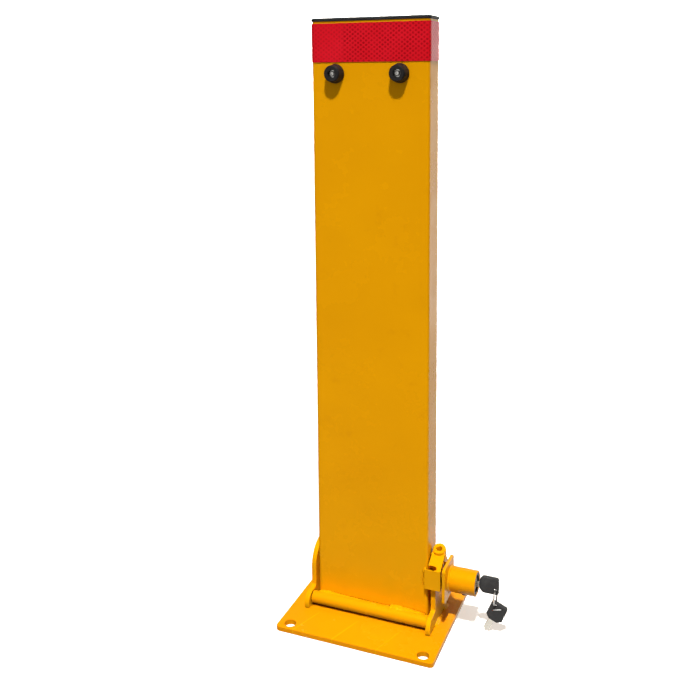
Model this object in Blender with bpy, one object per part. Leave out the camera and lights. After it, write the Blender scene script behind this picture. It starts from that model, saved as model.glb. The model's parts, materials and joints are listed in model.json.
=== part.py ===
"""Folding parking lock: a flat steel post that folds forward on a base plate and locks with a key.

Units are metres. The origin is the centre of the base plate's underside, +Z is up, and the post folds
towards -Y about the hinge shaft, which runs along X. The key lock is on the +X side.
"""
from math import atan2, cos, pi, radians, sin, sqrt

import bmesh
import bpy
from mathutils import Matrix, Vector

MM = 0.001
FIT_GAP = 0.3 * MM            # clearance between pieces that touch

# Base plate
PLATE_WIDTH = 166 * MM
PLATE_DEPTH = 140 * MM
PLATE_THICKNESS = 5 * MM
PLATE_CORNER = 4 * MM
ANCHOR_HOLE_RADIUS = 6 * MM
ANCHOR_X = 70.5 * MM
ANCHOR_Y = 61 * MM

# Post
POST_WIDTH = 120 * MM
POST_DEPTH = 31 * MM
POST_WALL = 2 * MM
POST_CORNER = 3 * MM
POST_FRONT_Y = -12 * MM
POST_BOTTOM_Z = 13.5 * MM
POST_TOP_Z = 609 * MM
CAP_LIP = 3 * MM
CAP_OVERHANG = 0.9 * MM
CAP_SKIRT = 14 * MM
CAP_SKIRT_WALL = 2.5 * MM
TAPE_HEIGHT = 37 * MM
TAPE_THICKNESS = 0.4 * MM
TAPE_BELOW_TOP = 2 * MM

# Hinge
HINGE_Y = -19.8 * MM
HINGE_Z = 12.6 * MM
SHAFT_RADIUS = 4 * MM
BARREL_RADIUS = 6.2 * MM
EAR_INNER_X = 63.3 * MM
EAR_THICKNESS = 5 * MM
EAR_LOBE_RADIUS = 11.3 * MM
EAR_LOBE_Y = -20.2 * MM
EAR_LOBE_Z = 9 * MM
EAR_ARCH_RADIUS = 24.3 * MM
EAR_ARCH_Z = 41 * MM
EAR_FRONT_Y = POST_FRONT_Y
STOP_HEIGHT = 40 * MM
STOP_THICKNESS = 5 * MM

# Rubber bumpers
BUMPER_X = {"left": -35 * MM, "right": 31 * MM}
BUMPER_Z = 559 * MM
BUMPER_BASE_RADIUS = 9.5 * MM
BUMPER_TIP_RADIUS = 7.8 * MM
BUMPER_HEIGHT = 11 * MM
BUMPER_RECESS_RADIUS = 4 * MM
BUMPER_RECESS_DEPTH = 5 * MM
SCREW_RADIUS = 2 * MM

# Lock, on an axis along X
LOCK_Y = 6.5 * MM
LOCK_Z = 48.7 * MM
BOLT_WAY_RADIUS = 6.2 * MM
FLANGE_X = 76 * MM
FLANGE_THICKNESS = 3 * MM
FLANGE_Y = (-16.3 * MM, 18.5 * MM)
FLANGE_Z = (32 * MM, 69 * MM)
HOUSING_RADIUS = 12.4 * MM
HOUSING_WALL = 1.8 * MM
HOUSING_END_X = 106.5 * MM
PLUG_FACE_X = 105 * MM
PLUG_RADIUS = 6 * MM
PLUG_BACK_X = 94.8 * MM
BOLT_RADIUS = 5.2 * MM
BOLT_TIP_X = 76.2 * MM
BOLT_BACK_X = 94.3 * MM
BOLT_TRAVEL = 6.8 * MM
KEY_TURN = pi / 2
PIN_RADIUS = 1.3 * MM
PIN_X = 92 * MM
CAM_INNER = 5.6 * MM
CAM_OUTER = 8 * MM
SET_SCREW_X = 93 * MM
SET_SCREW_RADIUS = 2.2 * MM
SET_SCREW_OUT = 2.5 * MM

# Latch bracket on the post's lower right corner
BRACKET_LEFT_X = 57.8 * MM
BRACKET_RIGHT_X = 74.3 * MM
BRACKET_THICKNESS = 4.2 * MM
BRACKET_Z = (45.7 * MM, 66.5 * MM)
STRAP_LEFT_X = 61 * MM
STRAP_SLOPE = radians(32.5)
STRAP_LENGTH = 24 * MM
EYE_RADIUS = 3.2 * MM
EYE_DEPTH = 8.5 * MM
EYE_PROUD = 0.8 * MM
EYE_SLOPE = radians(12)
KEEPER_X = 69.3 * MM
KEEPER_THICKNESS = 4.5 * MM
KEEPER_RADIUS = 9 * MM

# Keys
KEY_THICKNESS = 1.9 * MM
KEY_BLADE_HEIGHT = 6.4 * MM
KEY_REACH = 13.8 * MM
KEY_NECK = 4 * MM
BOW_LENGTH = 19.6 * MM
BOW_HEIGHT = 17 * MM
BOW_THICKNESS = 4.4 * MM
BOW_OFFSET_Z = 1.5 * MM
BOW_HOLE_RADIUS = 2.1 * MM
BOW_HOLE_BACK = 6.4 * MM
BOW_HOLE_SIDE = 4.2 * MM
RING_RADIUS = 7.3 * MM
RING_WIRE = 0.8 * MM
SPARE_KEY_LEAN = radians(67)
SLIT_LEAN = radians(14)

ROUND_STEPS = 32
ALONG_X = Matrix.Rotation(pi / 2, 4, "Y")
TOWARDS_FRONT = Matrix.Rotation(pi / 2, 4, "X")


def clear_scene():
    """Start from an empty scene."""
    for old in list(bpy.data.objects):
        bpy.data.objects.remove(old, do_unlink=True)


def material(name, colour, roughness, metallic=0.0):
    """Return a Principled material."""
    made = bpy.data.materials.new(name)
    made.use_nodes = True
    shader = made.node_tree.nodes["Principled BSDF"]
    shader.inputs["Base Color"].default_value = (*colour, 1.0)
    shader.inputs["Roughness"].default_value = roughness
    shader.inputs["Metallic"].default_value = metallic
    return made


def add_object(name, mesh_tool, paint, matrix=Matrix.Identity(4), parent=None, smooth=True):
    """Turn a bmesh into a named object placed by a matrix, under an optional parent."""
    bmesh.ops.recalc_face_normals(mesh_tool, faces=mesh_tool.faces[:])
    mesh = bpy.data.meshes.new(name)
    mesh_tool.to_mesh(mesh)
    mesh_tool.free()
    if smooth:
        mesh.shade_smooth()
        mesh.set_sharp_from_angle(angle=radians(35))
    made = bpy.data.objects.new(name, mesh)
    bpy.context.scene.collection.objects.link(made)
    if paint:
        mesh.materials.append(paint)
    if parent:
        made.parent = parent
        matrix = parent_matrix(parent).inverted() @ matrix
    made.matrix_basis = matrix
    return made


def parent_matrix(empty):
    """World matrix of an empty, worked out along its parents."""
    matrix = empty.matrix_basis.copy()
    while empty.parent:
        empty = empty.parent
        matrix = empty.matrix_basis @ matrix
    return matrix


def pivot(name, place, parent=None):
    """Add an empty on a joint's axis."""
    empty = bpy.data.objects.new(name, None)
    empty.empty_display_size = 10 * MM
    bpy.context.scene.collection.objects.link(empty)
    matrix = Matrix.Translation(place)
    if parent:
        empty.parent = parent
        matrix = parent_matrix(parent).inverted() @ matrix
    empty.matrix_basis = matrix
    return empty


def move(x=0.0, y=0.0, z=0.0):
    """Translation matrix."""
    return Matrix.Translation((x, y, z))


# Outlines ------------------------------------------------------------------------------------------

def arc(centre_x, centre_y, radius, start, end, steps):
    """Points on a circular arc, angles in degrees, both ends included."""
    points = []
    for step in range(steps + 1):
        angle = radians(start + (end - start) * step / steps)
        points.append((centre_x + radius * cos(angle), centre_y + radius * sin(angle)))
    return points


def rounded_rectangle(width, height, radius, steps=4):
    """Outline of a rectangle with round corners, centred on the origin."""
    across = width / 2 - radius
    up = height / 2 - radius
    return (arc(across, up, radius, 0, 90, steps) + arc(-across, up, radius, 90, 180, steps)
            + arc(-across, -up, radius, 180, 270, steps) + arc(across, -up, radius, 270, 360, steps))


# Solids --------------------------------------------------------------------------------------------

def extruded(outline, thickness):
    """Prism of an outline in XY, from z = 0 to the thickness."""
    tool = bmesh.new()
    face = tool.faces.new([tool.verts.new((x, y, 0)) for x, y in outline])
    grown = bmesh.ops.extrude_face_region(tool, geom=[face])
    top = [item for item in grown["geom"] if isinstance(item, bmesh.types.BMVert)]
    bmesh.ops.translate(tool, verts=top, vec=(0, 0, thickness))
    return tool


def box(low, high):
    """Box between two corners."""
    tool = bmesh.new()
    size = Vector(high) - Vector(low)
    centre = (Vector(high) + Vector(low)) / 2
    bmesh.ops.create_cube(tool, size=1.0, matrix=Matrix.Translation(centre) @ Matrix.Diagonal((*size, 1)))
    return tool


def turned(profile, steps=ROUND_STEPS):
    """Solid of revolution about Z of a closed (radius, height) profile."""
    tool = bmesh.new()
    corners = [tool.verts.new((radius, 0, height)) for radius, height in profile]
    edges = [tool.edges.new((a, b)) for a, b in zip(corners, corners[1:] + corners[:1])]
    bmesh.ops.spin(tool, geom=corners + edges, cent=(0, 0, 0), axis=(0, 0, 1), angle=2 * pi, steps=steps,
                   use_merge=True)
    bmesh.ops.remove_doubles(tool, verts=tool.verts[:], dist=1e-6)
    loose = [edge for edge in tool.edges if not edge.link_faces]
    bmesh.ops.delete(tool, geom=loose, context="EDGES")
    return tool


def rod(radius, low, high, chamfer=0.0, steps=ROUND_STEPS):
    """Round bar along Z, with chamfered ends where a chamfer is given."""
    profile = [(0, low), (radius - chamfer, low), (radius, low + chamfer)]
    profile += [(radius, high - chamfer), (radius - chamfer, high), (0, high)]
    return turned(profile, steps)


def pipe(outer, inner, low, high, steps=ROUND_STEPS):
    """Round tube along Z."""
    return turned([(inner, low), (outer, low), (outer, high), (inner, high)], steps)


def lofted(rings, closed=False):
    """Skin of equal-length XY outlines, each with its own height, capped unless the stack is closed."""
    tool = bmesh.new()
    loops = [[tool.verts.new((x, y, height)) for x, y in outline] for outline, height in rings]
    pairs = list(zip(loops, loops[1:]))
    if closed:
        pairs.append((loops[-1], loops[0]))
    for lower, upper in pairs:
        count = len(lower)
        for index in range(count):
            following = (index + 1) % count
            tool.faces.new((lower[index], lower[following], upper[following], upper[index]))
    if not closed:
        tool.faces.new(loops[0])
        tool.faces.new(loops[-1])
    return tool


def weld_bead(corner, face, sink, length, pitch, end_scale=1.0):
    """Bead along Z: its corner points lie on the welded pieces, and its face points sink in ripples."""
    steps = int(length / pitch * 2.5)
    rings = []
    for step in range(steps + 1):
        height = length * step / steps
        depth = 0.5 + 0.5 * sin(2 * pi * height / pitch + 1.6 * sin(height / (0.7 * pitch)))
        scale = end_scale if step in (0, steps) else 1.0
        outline = corner + [(x + sink[0] * depth, y + sink[1] * depth) for x, y in face]
        rings.append(([(x * scale, y * scale) for x, y in outline], height))
    bead = lofted(rings)
    bmesh.ops.triangulate(bead, faces=bead.faces[:])
    return bead


def corner_bead(leg, length, side=1):
    """Bead along Z in the corner between two faces, along +X or -X and +Y from the corner."""
    corner = [(0, leg), (0, 0), (side * leg, 0)]
    face = [(side * 0.78 * leg, 0.46 * leg), (side * 0.46 * leg, 0.78 * leg)]
    sink = (-side * 0.14 * leg, -0.14 * leg)
    return weld_bead(corner, face, sink, length, 1.7 * leg, 0.6)


# Modifiers -----------------------------------------------------------------------------------------

def cutter(name, mesh_tool, matrix=Matrix.Identity(4), parent=None):
    """Hidden helper shape for a Boolean."""
    made = add_object(name, mesh_tool, None, matrix, parent, smooth=False)
    made.hide_render = True
    made.display_type = "WIRE"
    return made


def boolean(target, helper, operation="DIFFERENCE"):
    """Cut a helper from an object, or join it on."""
    modifier = target.modifiers.new(helper.name, "BOOLEAN")
    modifier.operation = operation
    modifier.object = helper
    modifier.solver = "EXACT"


def soften(target, width, segments=2, angle=35):
    """Round an object's sharp edges a little."""
    modifier = target.modifiers.new("soft_edges", "BEVEL")
    modifier.width = width
    modifier.segments = segments
    modifier.limit_method = "ANGLE"
    modifier.angle_limit = radians(angle)
    modifier.harden_normals = False


# Base ----------------------------------------------------------------------------------------------

def base_plate(yellow):
    """Flat plate with a hole near each corner for a ground anchor."""
    plate = add_object("base_plate", extruded(rounded_rectangle(PLATE_WIDTH, PLATE_DEPTH, PLATE_CORNER),
                                              PLATE_THICKNESS), yellow)
    soften(plate, 0.5 * MM)
    for index, (side, end) in enumerate(((-1, -1), (1, -1), (-1, 1), (1, 1))):
        place = move(side * ANCHOR_X, end * ANCHOR_Y)
        boolean(plate, cutter(f"anchor_hole_{index}", rod(ANCHOR_HOLE_RADIUS, -MM, PLATE_THICKNESS + MM),
                              place))


def ear_outline():
    """Side view of an ear as (y, z): a low lobe round the shaft, then an arch up beside the post."""
    foot = PLATE_THICKNESS + FIT_GAP
    arch_y = EAR_FRONT_Y + EAR_ARCH_RADIUS
    drop = EAR_LOBE_Z - foot
    lobe_foot = atan2(drop, sqrt(EAR_LOBE_RADIUS ** 2 - drop ** 2)) * 180 / pi
    inner_corner = 2.5 * MM
    lobe_top = EAR_LOBE_Z + EAR_LOBE_RADIUS
    points = arc(EAR_LOBE_Y, EAR_LOBE_Z, EAR_LOBE_RADIUS, 180 + lobe_foot, 90, 10)
    points += arc(EAR_FRONT_Y - inner_corner, lobe_top + inner_corner, inner_corner, -90, 0, 4)
    points += arc(arch_y, EAR_ARCH_Z, EAR_ARCH_RADIUS, 180, 0, 24)
    points.append((arch_y + EAR_ARCH_RADIUS, foot))
    return points


def side_plate(name, outline, x, thickness, paint, parent=None):
    """Plate in the YZ plane, from x outwards, from an outline in (y, z)."""
    stand_up = Matrix(((0, 0, 1, x), (1, 0, 0, 0), (0, 1, 0, 0), (0, 0, 0, 1)))
    return add_object(name, extruded(outline, thickness), paint, stand_up, parent)


def ears(yellow):
    """The two ears that carry the hinge shaft."""
    shaft_hole = SHAFT_RADIUS + FIT_GAP
    for name, x in (("left_ear", -EAR_INNER_X - EAR_THICKNESS), ("right_ear", EAR_INNER_X)):
        ear = side_plate(name, ear_outline(), x, EAR_THICKNESS, yellow)
        soften(ear, 0.5 * MM)
        hole = rod(shaft_hole, x - MM, x + EAR_THICKNESS + MM)
        boolean(ear, cutter(f"{name}_shaft_hole", hole, move(y=HINGE_Y, z=HINGE_Z) @ ALONG_X))


def tack_welds(yellow):
    """Short weld beads at the foot of each ear, outside."""
    length = 12 * MM
    for side, side_name in ((-1, "left"), (1, "right")):
        for y, end_name in ((-12 * MM, "front"), (18 * MM, "rear")):
            ear_face = EAR_INNER_X + EAR_THICKNESS + FIT_GAP
            place = move(side * ear_face, y + length, PLATE_THICKNESS + FIT_GAP)
            add_object(f"{side_name}_{end_name}_tack_weld", corner_bead(2 * MM, length, side), yellow,
                       place @ TOWARDS_FRONT)


def rear_stop(yellow):
    """Cross plate between the ears that the upright post leans back on."""
    half = EAR_INNER_X - FIT_GAP
    front = POST_FRONT_Y + POST_DEPTH + 0.4 * MM
    foot = PLATE_THICKNESS + FIT_GAP
    stop = add_object("rear_stop", box((-half, front, foot), (half, front + STOP_THICKNESS, STOP_HEIGHT)),
                      yellow)
    soften(stop, 0.6 * MM)


def hinge_shaft(yellow):
    """Pin through both ears, flush with their outer faces and painted with them."""
    half = EAR_INNER_X + EAR_THICKNESS
    add_object("hinge_shaft", rod(SHAFT_RADIUS, -half, half, 0.5 * MM), yellow,
               move(y=HINGE_Y, z=HINGE_Z) @ ALONG_X)


# Post ----------------------------------------------------------------------------------------------

def post_ring(grow, height):
    """Cross-section of the post, grown outwards or inwards, at a height."""
    radius = max(POST_CORNER + grow, 0.6 * MM)
    return rounded_rectangle(POST_WIDTH + 2 * grow, POST_DEPTH + 2 * grow, radius), height


def post_tube(yellow, parent, centre):
    """Flat tube, open at the foot, with two screw holes in its front wall."""
    rings = [post_ring(-POST_WALL, POST_BOTTOM_Z), post_ring(0, POST_BOTTOM_Z),
             post_ring(0, POST_TOP_Z), post_ring(-POST_WALL, POST_TOP_Z)]
    tube = add_object("post_tube", lofted(rings, closed=True), yellow, centre, parent)
    for side, x in BUMPER_X.items():
        hole = rod(SCREW_RADIUS + 0.4 * MM, -MM, POST_WALL + MM, steps=16)
        place = move(x, POST_FRONT_Y + POST_WALL, BUMPER_Z) @ TOWARDS_FRONT
        boolean(tube, cutter(f"{side}_bumper_hole", hole, place, parent))


def top_cap(black, parent, centre):
    """Plastic end cap: a thin lip over the tube's rim and a hollow skirt inside it."""
    lip_bottom = POST_TOP_Z + FIT_GAP
    lip_top = lip_bottom + CAP_LIP
    skirt_out = -POST_WALL - FIT_GAP
    skirt_in = skirt_out - CAP_SKIRT_WALL
    skirt_bottom = POST_TOP_Z - CAP_SKIRT
    rings = [post_ring(skirt_in, lip_bottom), post_ring(skirt_in, skirt_bottom),
             post_ring(skirt_out, skirt_bottom), post_ring(skirt_out, lip_bottom),
             post_ring(CAP_OVERHANG, lip_bottom), post_ring(CAP_OVERHANG, lip_top - MM),
             post_ring(CAP_OVERHANG - 0.4 * MM, lip_top - 0.4 * MM),
             post_ring(CAP_OVERHANG - 1.4 * MM, lip_top)]
    add_object("top_cap", lofted(rings), black, centre, parent)


def reflective_tape(red, parent, centre):
    """Red band round the top of the post."""
    top = POST_TOP_Z - TAPE_BELOW_TOP
    bottom = top - TAPE_HEIGHT
    outer = FIT_GAP + TAPE_THICKNESS
    rings = [post_ring(FIT_GAP, bottom), post_ring(outer, bottom), post_ring(outer, top),
             post_ring(FIT_GAP, top)]
    add_object("reflective_tape", lofted(rings, closed=True), red, centre, parent)


def bumpers(black, steel, parent):
    """Tapered rubber feet that meet the ground when the post is down, each with its fastener."""
    seat = BUMPER_HEIGHT - BUMPER_RECESS_DEPTH
    bore = SCREW_RADIUS + FIT_GAP
    foot = [(bore, FIT_GAP), (BUMPER_BASE_RADIUS - 0.8 * MM, FIT_GAP), (BUMPER_BASE_RADIUS, 1.1 * MM),
            (BUMPER_TIP_RADIUS + 0.2 * MM, BUMPER_HEIGHT - 1.1 * MM),
            (BUMPER_TIP_RADIUS - 0.7 * MM, BUMPER_HEIGHT),
            (BUMPER_RECESS_RADIUS, BUMPER_HEIGHT), (BUMPER_RECESS_RADIUS, seat), (bore, seat)]
    washer_top = seat + FIT_GAP + 0.7 * MM
    head_bottom = washer_top + FIT_GAP
    head_radius = 2.6 * MM
    nut_top = -POST_WALL - FIT_GAP
    nut_height = 3.2 * MM
    screw_end = nut_top - nut_height - 1.5 * MM
    screw = [(0, screw_end), (SCREW_RADIUS - 0.3 * MM, screw_end),
             (SCREW_RADIUS, nut_top - nut_height - 1.2 * MM), (SCREW_RADIUS, head_bottom),
             (head_radius, head_bottom), (head_radius, head_bottom + MM),
             (head_radius - 0.9 * MM, head_bottom + 1.9 * MM), (0, head_bottom + 1.9 * MM)]
    for name, x in BUMPER_X.items():
        place = move(x, POST_FRONT_Y, BUMPER_Z) @ TOWARDS_FRONT
        add_object(f"{name}_bumper", turned(foot), black, place, parent)
        washer = pipe(3.6 * MM, bore, seat + FIT_GAP, washer_top, 24)
        add_object(f"{name}_bumper_washer", washer, steel, place, parent)
        made = add_object(f"{name}_bumper_screw", turned(screw, 24), steel, place, parent)
        socket = rod(1.3 * MM, head_bottom + 0.7 * MM, head_bottom + 3 * MM, steps=6)
        boolean(made, cutter(f"{name}_socket", socket, place, parent))
        nut = add_object(f"{name}_bumper_nut", rod(4 * MM, nut_top - nut_height, nut_top, steps=6), steel,
                         place, parent)
        bore_cut = rod(bore, nut_top - nut_height - MM, nut_top + MM, steps=16)
        boolean(nut, cutter(f"{name}_nut_bore", bore_cut, place, parent))


def hinge_barrel(yellow, parent):
    """Tube on the shaft, welded along the foot of the post's front face."""
    half = EAR_INNER_X - 0.7 * MM
    axis = move(y=HINGE_Y, z=HINGE_Z) @ ALONG_X
    barrel = pipe(BARREL_RADIUS, SHAFT_RADIUS + FIT_GAP, -half, half)
    add_object("hinge_barrel", barrel, yellow, axis, parent)
    barrel_side = arc(0, 0, BARREL_RADIUS + FIT_GAP, 152, 102, 4)
    post_side = POST_FRONT_Y - FIT_GAP - HINGE_Y
    corner = barrel_side + [(-1.6 * MM, post_side)]
    face = [(-7.4 * MM, post_side), (-7.3 * MM, post_side - 1.3 * MM), (-6.8 * MM, post_side - 2.7 * MM)]
    length = POST_WIDTH - 6 * MM
    bead = weld_bead(corner, face, (0.7 * MM, 0), length, 4.5 * MM)
    add_object("barrel_weld", bead, yellow, move(x=-length / 2) @ axis, parent)


def strap_frame():
    """Frame of the strap: X across, Y up its slope, Z out of its face, at the top of the front leg."""
    front = POST_FRONT_Y - FIT_GAP - BRACKET_THICKNESS
    return move(0, front, BRACKET_Z[1]) @ Matrix.Rotation(STRAP_SLOPE, 4, "X")


def latch_bracket(yellow, parent):
    """Bent strap on the post's corner: a front leg, and a sloped leg with a slot and a bossed eye."""
    back = POST_FRONT_Y - FIT_GAP
    front = back - BRACKET_THICKNESS
    leg = add_object("latch_bracket", box((BRACKET_LEFT_X, front, BRACKET_Z[0]),
                                          (BRACKET_RIGHT_X, back, BRACKET_Z[1])), yellow, parent=parent)
    half = (BRACKET_RIGHT_X - STRAP_LEFT_X) / 2
    centre_x = STRAP_LEFT_X + half
    outline = [(-half, 0)] + [(half, 0)] + arc(0, STRAP_LENGTH, half, 0, 180, 12)
    frame = strap_frame() @ move(x=centre_x)
    strap = extruded(outline, BRACKET_THICKNESS)
    strap_place = frame @ move(z=-BRACKET_THICKNESS)
    boolean(leg, cutter("strap", strap, strap_place, parent), "UNION")
    slot_half = 2.3 * MM
    slot_end = BRACKET_RIGHT_X - 4.2 * MM - slot_half
    slot_left = BRACKET_LEFT_X - 4 * MM
    slot = [(slot_left, slot_half)] + [(slot_left, -slot_half)] + arc(slot_end, 0, slot_half, -90, 90, 8)
    slot_frame = strap_frame() @ move(y=slot_half + 0.6 * MM, z=-8 * MM)
    boolean(leg, cutter("strap_slot", extruded(slot, 12 * MM), slot_frame, parent))
    soften(leg, 0.5 * MM)
    eye_frame = frame @ move(y=STRAP_LENGTH) @ Matrix.Rotation(EYE_SLOPE - STRAP_SLOPE, 4, "X")
    boss = rod(half + 0.2 * MM, -EYE_DEPTH, EYE_PROUD, 0.6 * MM, steps=32)
    boolean(leg, cutter("eye_boss", boss, eye_frame, parent), "UNION")
    eye = rod(EYE_RADIUS, -EYE_DEPTH - MM, EYE_PROUD + MM, steps=24)
    boolean(leg, cutter("strap_eye", eye, eye_frame, parent))
    bead_length = BRACKET_Z[1] - BRACKET_Z[0] - 3 * MM
    place = move(BRACKET_LEFT_X - FIT_GAP, back, BRACKET_Z[0] + 1.5 * MM) @ Matrix.Rotation(pi, 4, "Z")
    add_object("bracket_weld", corner_bead(2.8 * MM, bead_length), yellow, place, parent)


def keeper(yellow, parent):
    """Plate behind the bracket, beside the ear, whose hole takes the bolt."""
    front = POST_FRONT_Y
    points = [(front, BRACKET_Z[0] + 0.5 * MM)]
    points += arc(LOCK_Y, LOCK_Z, KEEPER_RADIUS, -96, 90, 16)
    points.append((front, LOCK_Z + KEEPER_RADIUS))
    plate = side_plate("latch_keeper", points, KEEPER_X, KEEPER_THICKNESS, yellow, parent)
    soften(plate, 0.4 * MM)
    hole = rod(BOLT_WAY_RADIUS, KEEPER_X - MM, KEEPER_X + KEEPER_THICKNESS + MM)
    boolean(plate, cutter("keeper_hole", hole, move(y=LOCK_Y, z=LOCK_Z) @ ALONG_X, parent))


# Lock ----------------------------------------------------------------------------------------------

def lock_mounting(yellow, axis):
    """Flange beside the ear, the spacer bar that carries it, and the housing tube on it."""
    flange_depth = FLANGE_Y[1] - FLANGE_Y[0]
    flange_height = FLANGE_Z[1] - FLANGE_Z[0]
    middle_y = sum(FLANGE_Y) / 2
    middle_z = sum(FLANGE_Z) / 2
    outline = [(middle_y + y, middle_z + z)
               for y, z in rounded_rectangle(flange_depth, flange_height, 3.5 * MM)]
    flange = side_plate("lock_flange", outline, FLANGE_X, FLANGE_THICKNESS, yellow)
    soften(flange, 0.4 * MM)
    hole = rod(BOLT_RADIUS + FIT_GAP, FLANGE_X - MM, FLANGE_X + FLANGE_THICKNESS + MM)
    boolean(flange, cutter("flange_hole", hole, axis))
    ear_face = EAR_INNER_X + EAR_THICKNESS
    spacer_y = LOCK_Y + KEEPER_RADIUS + MM
    spacer_low = (ear_face + FIT_GAP, spacer_y, FLANGE_Z[0] + MM)
    spacer_high = (FLANGE_X - FIT_GAP, FLANGE_Y[1] - 0.5 * MM, EAR_ARCH_Z + 18 * MM)
    spacer = add_object("lock_spacer", box(spacer_low, spacer_high), yellow)
    soften(spacer, 0.5 * MM)
    start = FLANGE_X + FLANGE_THICKNESS + FIT_GAP
    inner = HOUSING_RADIUS - HOUSING_WALL
    edge = 0.5 * MM
    profile = [(inner, start), (HOUSING_RADIUS, start), (HOUSING_RADIUS, HOUSING_END_X - edge),
               (HOUSING_RADIUS - edge, HOUSING_END_X), (inner + edge, HOUSING_END_X),
               (inner, HOUSING_END_X - edge)]
    add_object("lock_housing", turned(profile, 40), yellow, axis)
    leg = 0.8 * MM
    inside = HOUSING_RADIUS + FIT_GAP
    bead = turned([(inside, start), (inside + leg, start), (inside + 0.45 * leg, start + 0.45 * leg),
                   (inside, start + leg)], 40)
    add_object("housing_weld", bead, yellow, axis)


def core_set_screw(black, housing_name):
    """Headless screw up through the underside of the housing that holds the core, and its hole."""
    place = move(SET_SCREW_X, LOCK_Y, LOCK_Z) @ Matrix.Rotation(pi, 4, "X")
    tip = HOUSING_RADIUS - HOUSING_WALL + 0.1 * MM
    end = HOUSING_RADIUS + SET_SCREW_OUT
    hole = rod(SET_SCREW_RADIUS + FIT_GAP, tip - 2 * MM, end, steps=24)
    boolean(bpy.data.objects[housing_name], cutter("set_screw_hole", hole, place))
    screw = add_object("core_set_screw", rod(SET_SCREW_RADIUS, tip, end, 0.4 * MM, 24), black, place)
    socket = rod(1.2 * MM, end - 1.6 * MM, end + MM, steps=6)
    boolean(screw, cutter("set_screw_socket", socket, place))


def lock_core(black, axis):
    """Fixed core in the housing, stepped inside for the cam and the plug, and its retaining ring."""
    back = FLANGE_X + FLANGE_THICKNESS + 0.8 * MM
    front = PLUG_FACE_X - 0.4 * MM
    outer = HOUSING_RADIUS - HOUSING_WALL - FIT_GAP
    step = PLUG_BACK_X - 0.1 * MM
    bore = PLUG_RADIUS + FIT_GAP
    wide_bore = CAM_OUTER + FIT_GAP
    core = add_object("lock_core", turned([(wide_bore, back), (outer, back), (outer, front), (bore, front),
                                           (bore, step), (wide_bore, step)]), black, axis)
    groove_half = PIN_RADIUS + FIT_GAP
    groove = box((-10 * MM, -groove_half, back - MM), (-CAM_INNER, groove_half, step - FIT_GAP))
    boolean(core, cutter("guide_groove", groove, axis))
    ring_back = front + FIT_GAP
    ring = pipe(outer, outer - 2.2 * MM, ring_back, ring_back + 1.2 * MM)
    add_object("core_retaining_ring", ring, black, axis)


def helix_slot(axis, parent):
    """Bar along the helix that the bolt's pin follows, to cut the cam's slot."""
    tool = bmesh.new()
    half = 2.7 * MM
    over = 0.26
    steps = 16
    sections = []
    for step in range(steps + 1):
        turn = -over + (KEY_TURN + 2 * over) * step / steps
        middle = PIN_X - BOLT_TRAVEL * turn / KEY_TURN
        angle = pi - turn
        low = max(middle - half, PIN_X - BOLT_TRAVEL - half)
        high = min(middle + half, PIN_X + PIN_RADIUS + FIT_GAP)
        section = [(radius, height) for radius, height in
                   ((CAM_INNER - MM, low), (CAM_OUTER + MM, low), (CAM_OUTER + MM, high),
                    (CAM_INNER - MM, high))]
        sections.append([tool.verts.new((radius * cos(angle), radius * sin(angle), height))
                         for radius, height in section])
    for near, far in zip(sections, sections[1:]):
        for index in range(4):
            following = (index + 1) % 4
            tool.faces.new((near[index], near[following], far[following], far[index]))
    tool.faces.new(sections[0])
    tool.faces.new(sections[-1])
    return cutter("cam_slot", tool, axis, parent)


def lock_plug(brass, steel, axis, parent):
    """Keyed plug and the cam sleeve that turns with it."""
    cylinder = rod(PLUG_RADIUS, PLUG_BACK_X, PLUG_FACE_X, 0.4 * MM)
    plug = add_object("lock_plug", cylinder, brass, axis, parent)
    half_height = KEY_BLADE_HEIGHT / 2 + FIT_GAP
    half_width = KEY_THICKNESS / 2 + FIT_GAP
    keyway = box((-half_height, -half_width, PLUG_BACK_X - MM), (half_height, half_width, PLUG_FACE_X + MM))
    boolean(plug, cutter("keyway", keyway, axis, parent))
    start = FLANGE_X + FLANGE_THICKNESS + 0.5 * MM
    sleeve = pipe(CAM_OUTER, CAM_INNER, start, PLUG_BACK_X - 0.4 * MM, 48)
    cam = add_object("drive_cam", sleeve, steel, axis, parent)
    boolean(cam, helix_slot(axis, parent))


def lock_bolt(steel, axis, parent):
    """Sliding bolt, hollow at the back for the key's tip, and the pin that the cam drives."""
    chamfer = 1.2 * MM
    bore = 3.8 * MM
    bore_front = BOLT_BACK_X - 9 * MM
    profile = [(0, BOLT_TIP_X), (BOLT_RADIUS - chamfer, BOLT_TIP_X), (BOLT_RADIUS, BOLT_TIP_X + chamfer),
               (BOLT_RADIUS, BOLT_BACK_X), (bore, BOLT_BACK_X), (bore, bore_front), (0, bore_front)]
    bolt = add_object("lock_bolt", turned(profile), steel, axis, parent)
    outwards = axis @ move(z=PIN_X) @ Matrix.Rotation(-pi / 2, 4, "Y")
    hole = rod(PIN_RADIUS + FIT_GAP, bore - MM, BOLT_RADIUS + MM, steps=16)
    boolean(bolt, cutter("bolt_pin_hole", hole, outwards, parent))
    pin_inner = bore + 0.3 * MM
    pin_outer = CAM_OUTER + 1.2 * MM
    add_object("bolt_pin", rod(PIN_RADIUS, pin_inner, pin_outer, 0.2 * MM, 16), steel, outwards, parent)


# Keys ----------------------------------------------------------------------------------------------

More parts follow.
